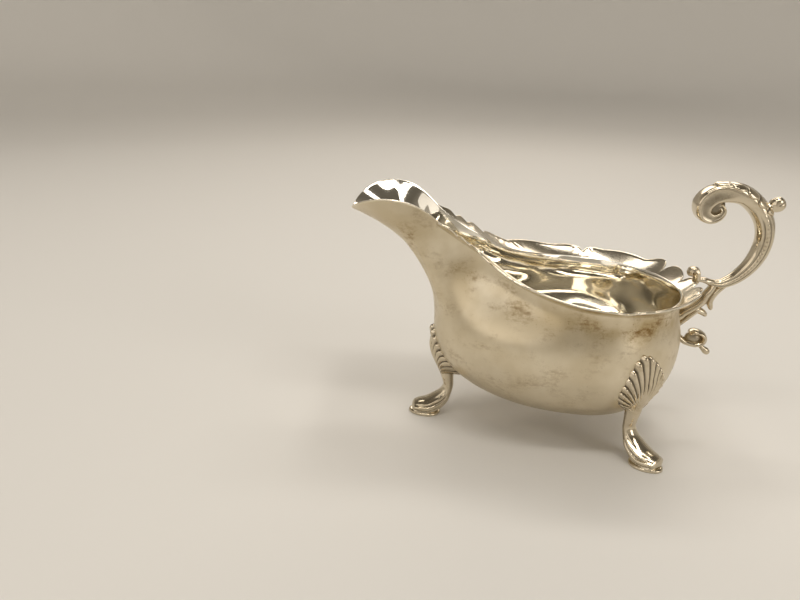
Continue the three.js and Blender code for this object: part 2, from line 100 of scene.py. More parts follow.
def fade(value, low, high):
    """Rises smoothly from 0 at low to 1 at high."""
    t = np.clip((value - low) / (high - low), 0, 1)
    return t * t * (3 - 2 * t)


# %% [markdown]
# ## From points to a mesh
# Every piece is a grid of points that closes on itself: the columns go round, and the first and
# last rows shrink to single points, the poles. The mesh function joins the grid into quads, makes
# a fan at each pole, turns all faces outwards by the sign of the volume, and stores how deep each
# point lies in a groove. The silver is darkened there, for the black polish residue that real
# silver keeps in its grooves and also as painted shade.

# %% Make a closed mesh from a grid of points
def closed_mesh(name, grid, recess=None, age=None, inner_from=None):
    """grid is rows x columns x 3, in millimetres. The first and last rows are poles. recess and age
    are values at the points, and faces from the row inner_from on take the second material."""
    rows, columns = grid.shape[:2]
    rings = grid[1:-1].reshape(-1, 3)
    points = np.vstack([rings, grid[:1, 0], grid[-1:, 0]]) * MM
    first, last = len(rings), len(rings) + 1
    here = np.arange((rows - 2) * columns).reshape(rows - 2, columns)
    across = np.roll(here, -1, axis=1)
    quads = np.stack([here[:-1], across[:-1], across[1:], here[1:]], axis=-1).reshape(-1, 4)
    fans = np.vstack([np.stack([np.full(columns, first), across[0], here[0]], axis=-1),
                      np.stack([np.full(columns, last), here[-1], across[-1]], axis=-1)])
    corners = np.concatenate([quads.ravel(), fans.ravel()])
    triangles = np.vstack([quads[:, :3], quads[:, [0, 2, 3]], fans])
    a, b, c = (points[triangles[:, k]] for k in range(3))
    turned = np.einsum("ij,ij->i", a, np.cross(b, c)).sum() < 0
    sizes = np.r_[np.full(len(quads), 4), np.full(len(fans), 3)]
    starts = np.r_[0, np.cumsum(sizes)[:-1]]
    if turned:
        corners = np.concatenate([quads[:, ::-1].ravel(), fans[:, ::-1].ravel()])
    mesh = bpy.data.meshes.new(name)
    mesh.vertices.add(len(points))
    mesh.vertices.foreach_set("co", points.astype(np.float32).ravel())
    mesh.loops.add(len(corners))
    mesh.loops.foreach_set("vertex_index", corners.astype(np.int32))
    mesh.polygons.add(len(sizes))
    mesh.polygons.foreach_set("loop_start", starts.astype(np.int32))
    mesh.polygons.foreach_set("loop_total", sizes.astype(np.int32))
    mesh.polygons.foreach_set("use_smooth", np.ones(len(sizes), bool))
    if inner_from is not None:
        row_of_quad = np.repeat(np.arange(rows - 3), columns)
        row_of_face = np.r_[row_of_quad, np.zeros(columns), np.full(columns, rows)]
        mesh.polygons.foreach_set("material_index", (row_of_face >= inner_from).astype(np.int32))
    for label, values in (("recess", recess), ("age", age)):
        full = np.broadcast_to(0 if values is None else values, (rows, columns))
        flat = np.r_[full[1:-1].ravel(), full[0, 0], full[-1, 0]]
        mesh.attributes.new(label, "FLOAT", "POINT").data.foreach_set("value", flat.astype(np.float32))
    mesh.update()
    mesh.validate()
    piece = bpy.data.objects.new(name, mesh)
    bpy.context.scene.collection.objects.link(piece)
    size = (points.max(0) - points.min(0)) * TO_MM
    print(f"{name}: {len(triangles)} triangles, {size[0]:.1f} x {size[1]:.1f} x {size[2]:.1f} mm")
    return piece


def with_poles(grid, recess):
    """Adds a pole at each end of a grid, in the middle of its end row, with no recess darkening there.
    """
    poles = grid[[0, -1]].mean(axis=1, keepdims=True) + 0 * grid[[0, -1]]
    clean = 0 * recess[:1]
    return np.vstack([poles[:1], grid, poles[1:]]), np.vstack([clean, recess, clean])


def stand_for(piece, node, *finishes):
    """The piece replaces a CAD node, which is hidden, rides on the boat and is finished."""
    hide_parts(node)
    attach(piece, "root")
    for finish in finishes:
        piece.data.materials.append(finish)


# %% [markdown]
# ## Silver
# The real metal is silver or silver plate, raised and cast, then polished on a wheel. It is then
# a near mirror with a faintly warm white colour. Old polish leaves hairlines too fine to see one
# by one, which spread each reflection a little. Air turns the metal yellow, then brown, first in
# patches that the cloth misses, and black in the grooves of the castings. Here the grooves are
# darkened more than that, as painted shade. One maker of silver takes these as numbers, and each
# surface of the boat gets its own.

# %% Colours and nodes
def linear(hex_colour):
    """An sRGB hex colour as linear light, which is what the shaders work in."""
    channels = [int(hex_colour[k:k + 2], 16) / 255 for k in (1, 3, 5)]
    return tuple(c / 12.92 if c <= 0.04045 else ((c + 0.055) / 1.055) ** 2.4 for c in channels) + (1.0,)


def add(material, kind, inputs=None, **settings):
    """One node: its settings by name, its inputs as numbers, colours or other nodes' outputs."""
    node = material.node_tree.nodes.new(kind)
    for key, value in settings.items():
        setattr(node, key, value)
    for key, value in (inputs or {}).items():
        if isinstance(value, bpy.types.NodeSocket):
            material.node_tree.links.new(value, node.inputs[key])
        else:
            node.inputs[key].default_value = value
    return node


def blank(name):
    """A material with an empty sheet of nodes but for its output."""
    material = bpy.data.materials.new(name)
    material.use_nodes = True
    material.node_tree.nodes.clear()
    return material


# %% The maker of silver
# Brown tarnish, the yellow veil that comes before it, and the black for grooves: polish residue and
# painted shade in one colour.
TARNISH, VEIL, RESIDUE_AND_SHADE = linear("#8f7349"), linear("#b8a680"), linear("#2f271c")
ALONG = (0.6, 0.6, 1)           # tarnish lies in patches a little longer than they are high
BRUSHED = (0.12, 0.5, 1)        # polishing marks run along the boat
MARK_SIZE, DENT_SIZE = 0.8, 14  # millimetres


def silver(name, colour, roughness, brown, hairline, patches):
    """Polished silver. brown is how far tarnish shows, hairline how deep the polishing marks are,
    in millimetres, and patches how wide the tarnished patches are, in millimetres."""
    m = blank(name)
    place = add(m, "ShaderNodeTexCoord").outputs["Object"]
    recess = add(m, "ShaderNodeAttribute", attribute_name="recess").outputs["Fac"]
    age = add(m, "ShaderNodeAttribute", attribute_name="age").outputs["Fac"]

    def noise(size_mm, detail, rough=0.55, stretch=(1, 1, 1)):
        """Cloudy noise whose lumps are size_mm wide, longer where stretch is small."""
        placed = add(m, "ShaderNodeMapping", {"Vector": place, "Scale": stretch}).outputs[0]
        inputs = {"Vector": placed, "Scale": TO_MM / size_mm, "Detail": detail, "Roughness": rough}
        return add(m, "ShaderNodeTexNoise", inputs).outputs["Fac"]

    def span(value, low, high, to_low=0.0, to_high=1.0):
        """value moved from low..high to to_low..to_high and held inside."""
        return add(m, "ShaderNodeMapRange", {"Value": value, "From Min": low, "From Max": high,
                                             "To Min": to_low, "To Max": to_high}).outputs[0]

    def math(operation, *values):
        return add(m, "ShaderNodeMath", dict(enumerate(values)), operation=operation).outputs[0]

    def mix(share, a, b):
        inputs = {"Factor": share, "A": a, "B": b}
        return add(m, "ShaderNodeMix", inputs, data_type="RGBA").outputs["Result"]

    clouds = noise(patches, 4, 0.6, ALONG)
    broken = noise(patches / 6, 3, 0.65, ALONG)
    specks = noise(patches / 16, 2, 0.6)
    smear = math("MULTIPLY", span(clouds, 0.5, 0.66), span(broken, 0.42, 0.6))
    speck = math("MULTIPLY", span(specks, 0.6, 0.68), span(clouds, 0.44, 0.58))
    stain = math("MULTIPLY", math("MULTIPLY", math("MAXIMUM", smear, speck), age), brown)
    yellowed = math("MULTIPLY", span(noise(patches * 1.7, 3), 0.2, 0.6, 0.0, 1.1 * brown), age)
    warm = mix(yellowed, linear(colour), VEIL)
    tarnished = mix(stain, warm, TARNISH)
    # Grooves and hollows go towards black by the recess value: residue and painted shade together.
    grime_and_shade = mix(span(recess, 0.15, 1.0, 0.0, 0.9), tarnished, RESIDUE_AND_SHADE)
    haze = span(noise(patches * 0.7, 4), 0.3, 0.7, -0.02, 0.04)
    worn = math("MULTIPLY_ADD", stain, 0.3, haze)
    dull = math("MULTIPLY_ADD", recess, 0.35, worn)
    rough = add(m, "ShaderNodeMath", {0: dull, 1: roughness}, operation="ADD", use_clamp=True)
    marks, dents = noise(MARK_SIZE, 2, 0.5, BRUSHED), noise(DENT_SIZE, 2)
    low = add(m, "ShaderNodeBump", {"Height": dents, "Distance": hairline * 8 * MM, "Strength": 0.5})
    bump = add(m, "ShaderNodeBump", {"Height": marks, "Distance": hairline * MM, "Strength": 0.6,
                                     "Normal": low.outputs[0]}).outputs[0]
    shader = add(m, "ShaderNodeBsdfPrincipled",
                 {"Base Color": grime_and_shade, "Metallic": 1.0, "Roughness": rough.outputs[0], "Normal": bump})
    add(m, "ShaderNodeOutputMaterial", {"Surface": shader.outputs[0]})
    print(name, "has", len(m.node_tree.nodes), "nodes")
    return m


# %% The boat's silvers
# Raised silver on the outside: rubbed with a cloth for years, so it is soft, with brown patches.
OUTSIDE = silver("silver_raised_rubbed", "#e4dac4", 0.34, 0.62, 0.02, 9)
# The inside, scoured bright each time it was used: a clean mirror.
INSIDE = silver("silver_inside_bright", "#f2eee3", 0.06, 0.2, 0.01, 10)
# The flange, hammered flat and burnished: bright, with a little yellow.
FLANGE = silver("silver_flange_burnished", "#e9e2d2", 0.14, 0.35, 0.015, 7)
# Castings, chased and polished on the high parts, black in the grooves with residue and painted shade.
CAST = silver("silver_cast_chased", "#ddd3bf", 0.12, 0.5, 0.02, 6)

# %% [markdown]
# ## The bowl
# The bowl is an egg in plan, with its short end to the rear. Each rib of it goes from the middle
# of the bottom, out round the belly, and up to the mouth. The mouth is a level ring at the rear
# and climbs into the spout, where the wall leans out. The ring is a table from the rear to the
# spout's tip, mirrored, so that the curve runs on smoothly across the middle at both ends.

# %% The bowl's templates
WALL = 1.1
BELLY_MID, BELLY_REAR, BELLY_FRONT, BELLY_SIDE = 18, 42, 69, 45.8
BOTTOM, WIDEST, ROUNDNESS = 10.8, 48, 2.3
# How far the wall above the belly keeps upright, and how far it keeps the mouth's lean.
UPRIGHT_PULL, LEAN_PULL = 0.42, 0.39
# Each row: x, y, z, the belly's angle below it, and the wall's lean in degrees.
MOUTH = np.array([
    [58.4, 0, 68.6, 0, 16], [55, 17.5, 68.6, 23, 16], [46.8, 31.3, 68.6, 45, 16],
    [35.5, 40.3, 68.8, 63, 16], [20, 44, 69.2, 88, 15], [5, 41.6, 70.4, 103, 14],
    [-10, 34, 73.4, 119, 12], [-22, 25.8, 78.2, 132, 10], [-32, 19.4, 84.6, 143, 8],
    [-42, 16.6, 90.4, 151, 8], [-50, 17.4, 95.8, 157, 14], [-56.5, 21, 101.2, 161, 26],
    [-64, 25, 105.4, 165, 36], [-74, 26, 106.9, 169, 44], [-82.5, 22.4, 105.2, 172.5, 52],
    [-88, 13.2, 101.5, 176.3, 62], [-90, 0, 98.6, 180, 69]])
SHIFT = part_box("bowl")[0].x * TO_MM - MOUTH[-1, 0]
MOUTH[:, 0] += SHIFT
BELLY_MID += SHIFT
print("the templates' x is moved by", round(SHIFT, 2), "mm")

# The other side, from the tip back to the rear: y and the angle change sign.
OTHER_SIDE = MOUTH[-2::-1] * [1, -1, 1, -1, 1] + [0, 0, 0, 360, 0]
RING = np.vstack([MOUTH, OTHER_SIDE])
BEFORE, AFTER = RING[-4:-1] - [0, 0, 0, 360, 0], RING[1:4] + [0, 0, 0, 360, 0]
RING_KEYS = np.arange(-3, len(RING) + 3) / (len(RING) - 1)


def mouth(s):
    """The mouth at s, from 0 at the rear, by the left side, 0.5 at the tip, to 1."""
    return curve_through(RING_KEYS, np.vstack([BEFORE, RING, AFTER]), np.mod(s, 1))


def mouth_outward(s):
    """The level direction square to the mouth."""
    run = mouth(s + 0.002)[..., :2] - mouth(s - 0.002)[..., :2]
    run /= np.linalg.norm(run, axis=-1, keepdims=True)
    return np.stack([run[..., 1], -run[..., 0], np.zeros(run.shape[:-1])], axis=-1)


def belly_ring(angle):
    """The widest level of the belly, less its middle: half ellipses of two lengths."""
    c, s = np.cos(np.radians(angle)), np.sin(np.radians(angle))
    return np.stack([np.where(c > 0, BELLY_REAR, BELLY_FRONT) * c, BELLY_SIDE * s, 0 * c], axis=-1)


def bowl_skin(s, v):
    """The outside of the bowl, v from 0 at the bottom to 1 at the mouth. Up to 0.5 a rib is a
    quarter of a superellipse. Above that it is a cubic that starts upright and ends at the
    mouth with the wall's lean."""
    m = mouth(s)
    ring = belly_ring(m[..., 3])
    turn = np.pi * np.clip(v, 0, 0.5)
    reach, depth = np.sin(turn) ** (2 / ROUNDNESS), np.clip(np.cos(turn), 0, 1) ** (2 / ROUNDNESS)
    middle = np.array([BELLY_MID, 0, WIDEST])
    low = middle + ring * reach[..., None] - [0, 0, 1] * depth[..., None] * (WIDEST - BOTTOM)
    start, end = middle + ring, m[..., :3]
    length = np.linalg.norm(end - start, axis=-1, keepdims=True)
    lean = np.radians(m[..., 4])[..., None]
    lift = mouth_outward(s) * np.sin(lean) + np.array([0, 0, 1]) * np.cos(lean)
    first = start + np.array([0, 0, 1]) * UPRIGHT_PULL * length
    second = end - lift * LEAN_PULL * length
    w = np.clip(2 * v - 1, 0, 1)[..., None]
    high = start * (1 - w) ** 3 + 3 * first * w * (1 - w) ** 2
    high = high + 3 * second * w * w * (1 - w) + end * w ** 3
    return np.where((v <= 0.5)[..., None], low, high)


def skin_normal(s, v):
    """Square to the bowl's outside, pointing out: the cross product of the two ways along it."""
    w = np.clip(v, 0.012, 0.998)
    along = bowl_skin(s + 0.001, w) - bowl_skin(s - 0.001, w)
    up = bowl_skin(s, w + 0.002) - bowl_skin(s, w - 0.002)
    normal = np.cross(along, up)
    return normal / np.linalg.norm(normal, axis=-1, keepdims=True)


# %% [markdown]
# The wall is one sheet, so the mesh goes up the outside, over a rounded lip and down the inside.
# The lip stands a hair above the flange, which gives the fine bright line round the mouth.
# Tarnish is strongest in a band below the mouth, most of all at the rear, where the flange keeps
# the cloth away. The mesh carries that as a value at each point.

# %% Raise the bowl
AROUND, UP = 384, 96
CROWDING = 1.15                 # above 1, the rings crowd together towards the mouth
RIB = 60                        # about how long the upper part of a rib is, in millimetres


def hump(value, middle, width):
    """A smooth hump, 1 at the middle and nearly 0 two widths away."""
    return np.exp(-((value - middle) / width) ** 2)


def bowl_grid():
    """Rings up the outside, over a half-round lip and down the inside, and the tarnish there."""
    s = np.arange(AROUND) / AROUND
    share = np.linspace(0, 1, UP)
    v = 1 - (1 - share) ** CROWDING
    s2, v2 = np.meshgrid(s, v)
    outside = bowl_skin(s2, v2)
    inside = outside - skin_normal(s2, v2) * WALL
    inside[0] = outside[0] + [0, 0, WALL]
    top, top_in = outside[-1], inside[-1]
    middle, across = (top + top_in) / 2, (top - top_in) / 2
    rise = np.cross(across, np.roll(middle, -1, axis=0) - np.roll(middle, 1, axis=0))
    rise /= np.linalg.norm(rise, axis=-1, keepdims=True)
    rise *= np.sign(rise[:, 2:]) * WALL / 2
    bend = np.radians([30, 60, 90, 120, 150])[:, None, None]
    lip = middle + across * np.cos(bend) + rise * np.sin(bend)
    below = (1 - v2) * RIB
    rear = fade(outside[..., 0], -20, 30)
    band = (0.65 + 0.6 * rear) * hump(below, 8, 9) + 0.4 * hump(below, 26, 16) + 0.22
    age = np.vstack([band, np.zeros((len(lip), AROUND)), 0.5 * band[::-1]])
    whole = np.vstack([outside, lip, inside[::-1]])
    whole[..., 0] = np.maximum(whole[..., 0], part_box("bowl")[0].x * TO_MM)
    return whole, age


grid, age = bowl_grid()
stand_for(closed_mesh("bowl_raised", grid, age=age, inner_from=UP + 1), "bowl", OUTSIDE, INSIDE)

# %% [markdown]
# ## The rim flange
# A band of silver is soldered round the mouth and turned out like the brim of a hat. Its edge is
# cut into long lobes with sharp notches between, and the chaser has fanned fine flutes out of the
# main notches. It narrows up the neck and dies away below the spout.

# %% Cut the flange
# Each row: the belly's angle, the flange's width, and how steeply it rises.
EDGE = np.array([
    [0, 8.4, 34], [3.5, 7.6, 34], [6, 5.6, 35], [7.5, 2.8, 35], [9, 4.6, 35], [12, 6.2, 36],
    [16, 7.2, 38], [20, 7.4, 39], [23.5, 6.6, 39.5], [26, 4.4, 40], [27, 2.9, 40],
    [28.2, 5.8, 40], [30, 7.4, 40], [33, 8, 40], [37, 7.3, 40], [42.6, 5.7, 40],
    [50.8, 6.5, 39], [59.4, 7.2, 36], [69, 7.5, 31], [77, 8.8, 28], [81, 8.3, 27],
    [83.5, 5.6, 26], [86, 8.6, 25], [91, 10.1, 25],
    [99, 9.2, 26], [109, 10, 27], [117, 9.2, 28], [122, 7.6, 28], [129.5, 9, 29], [134.5, 8, 30],
    [137, 5.6, 30], [140, 7.7, 30], [144, 7, 30], [147, 4.6, 30], [149.5, 6, 30], [152, 3.4, 30],
    [154.5, 4.1, 30], [158.5, 1.2, 30]])
NOTCHES = (7.5, 27, 42.6, 69, 83.5, 122, 137, 147, 152)
FANNED = (83.5, 122)
THICK = 1.0
ROOT_OVERLAP = 0.35             # how far the flange's root runs into the bowl's wall
FLUTE_COUNT, FLUTE_DEPTH = 9.5, 0.13
STEPS, TOP_POINTS = 1100, 20


def flange_grid():
    """Across, the section runs out over the top, round the cut edge and back underneath. The top
    is dished a little, with a raised border, and flutes fan out round the main notches."""
    s_dense = np.linspace(0, 0.5, 4000)
    s_end = np.interp(EDGE[-1, 0], mouth(s_dense)[:, 3], s_dense)
    s = np.linspace(-s_end, s_end, STEPS)[:, None]
    angle = np.abs((mouth(s)[..., 3] + 180) % 360 - 180)
    edge = curve_through(EDGE[:, 0], EDGE[:, 1:], angle, NOTCHES)
    width, slope = edge[..., 0] - THICK * 0.65, np.tan(np.radians(edge[..., 1]))
    share = 1 - (1 - np.linspace(0, 1, TOP_POINTS)) ** 1.3
    out = -ROOT_OVERLAP + (width + ROOT_OVERLAP) * share
    dish = -0.3 * np.sin(np.pi * share) + 0.25 * hump(share, 0.93, 0.06)
    near = np.min([np.abs(angle - notch) for notch in FANNED], axis=0)
    spoke = np.arctan2(near * 0.75, (width - out) + 2.5)
    live = fade(spoke, 0.05, 0.2) * (1 - fade(near, 6, 8)) * fade(share, 0.1, 0.5)
    cut = (1 - np.abs(np.sin(FLUTE_COUNT * spoke)) * live) * live
    top = slope * out + dish * (width / 9) - FLUTE_DEPTH * cut
    round_edge = np.radians(np.arange(20, 180, 20))
    edge_out = out[:, -1:] + THICK / 2 * np.sin(round_edge)
    edge_up = top[:, -1:] - THICK / 2 * (1 - np.cos(round_edge))
    keep = slice(None, None, -2)
    under = slope * out[:, keep] + dish[keep] * (width / 9) - THICK
    offset = np.hstack([out, edge_out, out[:, keep]])
    height = np.hstack([top, edge_up, under])
    level, upright = mouth_outward(s) * offset[..., None], np.array([0, 0, 1]) * height[..., None]
    # The flutes are darkened by the recess value: residue and painted shade in them.
    recess = np.hstack([0.45 * cut ** 3, 0 * edge_out, 0 * out[:, keep]])
    return with_poles(mouth(s)[..., :3] + level + upright, recess)


grid, recess = flange_grid()
stand_for(closed_mesh("rim_flange_scalloped", grid, recess, 0.6), "rim_flange", FLANGE)

# %% [markdown]
# ## Bars with a swelling section
# The handle, its strut and the scrolls are castings drawn as bars: a line in the middle plane,
# with a thickness in that plane and a width across it. The same function sweeps them all. It
# rounds the free ends, and it can add a pattern of grooves as a small change of the radius.

# %% Sweep a bar
TOP = CAD_BOX[1][2] * TO_MM - 0.02      # nothing rises past the top of the CAD model


def bar_frame(rows, t):
    """The middle, half sizes and outward direction at t, from rows of x, z, thick, wide."""
    here = along_rows(rows, t)
    run = along_rows(rows, t + 0.004)[..., :2] - along_rows(rows, t - 0.004)[..., :2]
    run /= np.linalg.norm(run, axis=-1, keepdims=True)
    return here, np.stack([run[..., 1], -run[..., 0]], axis=-1)


def end_rounding(rows, t, caps):
    """1 along the bar, falling to 0 as a quarter circle at each end within its cap's length."""
    middle = along_rows(rows, t)[:, :2]
    arc = np.r_[0, np.cumsum(np.linalg.norm(np.diff(middle, axis=0), axis=1))]
    start, end = np.clip(arc / caps[0], 0, 1), np.clip((arc[-1] - arc) / caps[1], 0, 1)
    return np.sqrt(1 - (1 - start) ** 2) * np.sqrt(1 - (1 - end) ** 2)


def swept(rows, steps, sides, caps=(0.5, 1.5), relief=None, square=None):
    """A grid for a bar in the plane y = 0, a superellipse across. u is the angle round it, 0 on
    the outer side. relief(t, u) gives millimetres to add and the recess, which darkens with residue
    and painted shade, and square(t) how square the section is."""
    rows = np.array(rows, float)
    t = (1 - np.cos(np.linspace(0, np.pi, steps))) / 2 * 0.5 + np.linspace(0, 1, steps) * 0.5
    u = 2 * np.pi * np.arange(sides) / sides
    here, normal = bar_frame(rows, t)
    swell, recess = relief(t[:, None], u) if relief else (0, np.zeros((steps, sides)))
    ends = end_rounding(rows, t, caps)[:, None]
    power = 2 / (square(t[:, None]) if square else 2.0)
    c, s = np.cos(u), np.sin(u)
    c, s = np.sign(c) * np.abs(c) ** power, np.sign(s) * np.abs(s) ** power
    out, side = (here[:, 2:3] + swell) * c * ends, (here[:, 3:4] + swell) * s * ends
    x = here[:, :1] + out * normal[:, :1] + SHIFT
    z = np.minimum(here[:, 1:2] + out * normal[:, 1:], TOP)
    return np.stack([x, side + 0 * x, z], axis=-1), recess + np.zeros((steps, sides))


def rear_wall(z):
    """x of the bowl's outside at the middle of the rear."""
    v = np.linspace(0.2, 1, 200)
    wall = bowl_skin(0 * v, v)
    return np.interp(z, wall[:, 2], wall[:, 0])


def stop_in_wall(grid):
    """Nothing soldered on shows inside the bowl: it ends halfway through the wall."""
    bend = BELLY_REAR * (1 - np.sqrt(np.clip(1 - (grid[..., 1] / BELLY_SIDE) ** 2, 0, 1)))
    grid[..., 0] = np.maximum(grid[..., 0], rear_wall(grid[..., 2]) - bend - WALL / 2)
    return grid


# %% [markdown]
# ## The scroll handle
# The handle springs from the rear lobe of the flange, sweeps back and up, and rolls over into a
# volute that hangs over the bowl. A beaded line runs down each side of it, and it ends in a small
# curl in the eye of the volute. The section is a superellipse, a little squarer than round, as a
# casting is.

# %% Cast the handle
HANDLE = [[65.6, 73.6, 1.0, 2.2], [69.2, 73.1, 1.3, 2.4], [71.6, 72.3, 1.5, 2.2], [74.6, 71.8, 1.8, 2.3],
          [78, 72.4, 2.3, 2.7], [83, 75.6, 2.9, 3.2], [87.6, 80.8, 3.4, 3.6], [90.6, 87.2, 3.8, 3.9],
          [91.6, 94.2, 3.9, 4.1], [90, 101.2, 4.1, 4.4], [85.4, 107.2, 3.8, 4.6], [79.4, 111.5, 3.8, 5],
          [72.6, 112.7, 3.9, 5.3], [66.6, 111.6, 4, 5.5], [62.9, 107.8, 3.8, 5.5],
          [63.2, 103.6, 3.2, 5.2], [66.4, 101.6, 2.5, 4.8], [69.7, 102.5, 1.9, 4.4],
          [71.2, 104.9, 1.5, 4.2], [69.9, 106.9, 1.4, 4.0], [68.3, 105.9, 1.2, 3.9]]

BEADS = 75                      # along the whole of the handle's line


def handle_relief(t, u):
    """A beaded line runs down the middle of each side between two grooves. In the volute the
    sides are dished, so that its edges stand up as rims."""
    across = np.abs(np.cos(u))
    live = fade(t, 0.05, 0.14) * (1 - fade(t, 0.44, 0.5))
    bead = hump(across, 0, 0.14) * 0.2 * (1 + np.cos(2 * np.pi * BEADS * t))
    groove = hump(across, 0.33, 0.1)
    dish = hump(across, 0, 0.5) * fade(t, 0.54, 0.66)
    # The grooves and the dished sides of the volute are darkened: residue and painted shade.
    return (bead - 0.3 * groove) * live - 1.3 * dish, 0.8 * groove * live + 0.6 * dish


def handle_square(t):
    """Nearly round in the bow, and squarer in the volute."""
    return 2.15 + 1.5 * fade(t, 0.5, 0.66)


def pebble(centre, radii, rings=40, sides=64):
    """A grid for an ellipsoid at centre: rings of latitude from one side of the boat to the other."""
    latitude = np.linspace(-np.pi / 2, np.pi / 2, rings)[:, None]
    u = 2 * np.pi * np.arange(sides) / sides
    x = centre[0] + SHIFT + radii[0] * np.cos(latitude) * np.cos(u)
    z = centre[1] + radii[1] * np.cos(latitude) * np.sin(u)
    return np.stack([x, radii[2] * np.sin(latitude) + 0 * u, z], axis=-1)


grid, recess = swept(HANDLE, 300, 72, (0.6, 1.2), handle_relief, handle_square)
stand_for(closed_mesh("handle_scroll_cast", grid, recess, 0.5), "handle_scroll", CAST)
# The volute's eye is filled by a web, thinner than its rims.
eye = pebble((67.4, 106.9), (4.9, 4.6, 3.4))
# The whole web is darkened, with a recess of 0.75: painted shade in the eye, with residue.
stand_for(closed_mesh("handle_volute_web", eye, 0.75, 0.8), "handle_scroll", CAST)

# %% [markdown]
# ## The leaf and the bud
# A leaf is laid over the outer side of the handle where it turns over. Its two edges are cut into
# lobes, each with a vein from the midrib. It is a thin shell over the bar: the same section,
# lifted by the leaf's thickness, and only part of the way round. A bud stands at its root.

# %% Lay the leaf on the handle
LEAF_FROM, LEAF_TO, LOBES = 0.455, 0.645, 5
LEAF_TURN = np.radians(84)      # how far round the handle each half of the leaf can reach


def leaf_grid():
    """a goes across the leaf from -1 to 1. The edge swells and narrows with each lobe, a vein lies
    in the valley between two lobes, and the midrib is raised."""
    steps, half = 150, 22
    share = np.linspace(0, 1, steps)[:, None]
    here, normal = bar_frame(np.array(HANDLE), LEAF_FROM + (LEAF_TO - LEAF_FROM) * share[:, 0])
    beat = np.abs(np.sin(np.pi * LOBES * share ** 0.9))
    breadth = 0.25 + 0.75 * np.sin(np.pi * share ** 0.6)
    reach = LEAF_TURN * breadth * (0.7 + 0.3 * beat ** 0.7)
    ends = np.sqrt(np.clip(np.sin(np.pi * share) * 6, 0, 1))
    a = np.linspace(-1, 1, 2 * half)[None, :]
    slant = share ** 0.9 + 0.035 * np.abs(a)
    vein = hump(np.sin(np.pi * LOBES * slant), 0, 0.3) * fade(np.abs(a), 0.1, 0.4)
    midrib = hump(a, 0, 0.06)
    edge = np.sqrt(np.clip(1 - np.abs(a) ** 7, 0, 1))
    lift = (0.15 + 0.75 * edge + 0.22 * np.abs(a) ** 3 - 0.3 * vein + 0.25 * midrib) * ends
    turn = reach * a
    thick, wide = here[:, 2:3], here[:, 3:4]

    def place(up):
        out = (thick + up) * np.cos(turn)
        return np.stack([here[:, :1] + out * normal[:, :1] + SHIFT, (wide + up) * np.sin(turn),
                         np.minimum(here[:, 1:2] + out * normal[:, 1:], TOP)], axis=-1)

    top, under = place(lift), place(0 * lift - 0.3)[:, ::-1]
    # The veins are darkened by the recess value: residue and painted shade.
    recess = np.hstack([vein * 0.9, 0 * vein]) * ends
    return with_poles(np.concatenate([top, under], axis=1), recess)


grid, recess = leaf_grid()
stand_for(closed_mesh("handle_leaf_chased", grid, recess, 0.5), "handle_leaf", CAST)

# %% Model the bud
BUD_X, BUD_Z, BUD_TILT = 94.2, 108.6, 32
# The turned outline from the bud's root to its tip: radius, and place along it.
OUTLINE = [[0, -4.9], [2.2, -4.8], [2.5, -3.6], [2.4, -2.6], [2.9, -1.6], [3.3, -0.5], [3.4, 0.6],
           [3.2, 1.6], [2.7, 2.5], [1.9, 3.1], [0.9, 3.5], [0, 3.55]]


def bud_grid():
    """A turned outline with three soft lobes round it, tipped to point away from the handle."""
    profile = along_rows(np.array(OUTLINE), np.linspace(0, 1, 64))
    u = 2 * np.pi * np.arange(60) / 60
    live = fade(profile[:, 1:], -1.4, 0.2)
    lobe = 0.16 * np.abs(np.cos(1.5 * u + 0.8)) - 0.16
    radius = np.maximum(profile[:, :1], 0) * (1 + lobe * live)
    radius[[0, -1]] = 0
    along, across, side = profile[:, 1:] + 0 * u, radius * np.cos(u), radius * np.sin(u)
    c, s = np.cos(np.radians(BUD_TILT)), np.sin(np.radians(BUD_TILT))
    x, z = BUD_X + SHIFT + along * c - across * s, BUD_Z + along * s + across * c
    # The valleys between the lobes are darkened: residue and painted shade.
    return np.stack([x, side, z], axis=-1), 0.8 * hump(np.cos(1.5 * u + 0.8), 0, 0.2) * live


grid, recess = bud_grid()
stand_for(closed_mesh("handle_bud_lobed", grid, recess, 0.5), "handle_bud", CAST)

# %% [markdown]
# ## The curl, the strut and the lower scroll
# A short curl stands up where the handle leaves the flange. Under it a strut with two spurs, like
# a piece of branch, ties the handle to the bowl, and below that a rolled-up scroll with a drop
# under it is soldered to the bowl alone. Each is a bar or a few bars, and each stops inside the
# wall.

# %% Cast the small scrolls
def ribbed(count, depth, start, end):
    """A relief of rounded ribs round a bar, live between start and end along it."""
    def relief(t, u):
        rib = np.abs(np.cos(count * u / 2))
        live = fade(t, start, start + 0.12) * (1 - fade(t, end - 0.1, end))
        # Between the ribs the recess value darkens the silver: residue and painted shade.
        return depth * (rib - 1) * live, 0.8 * hump(rib, 0, 0.3) * live
    return relief


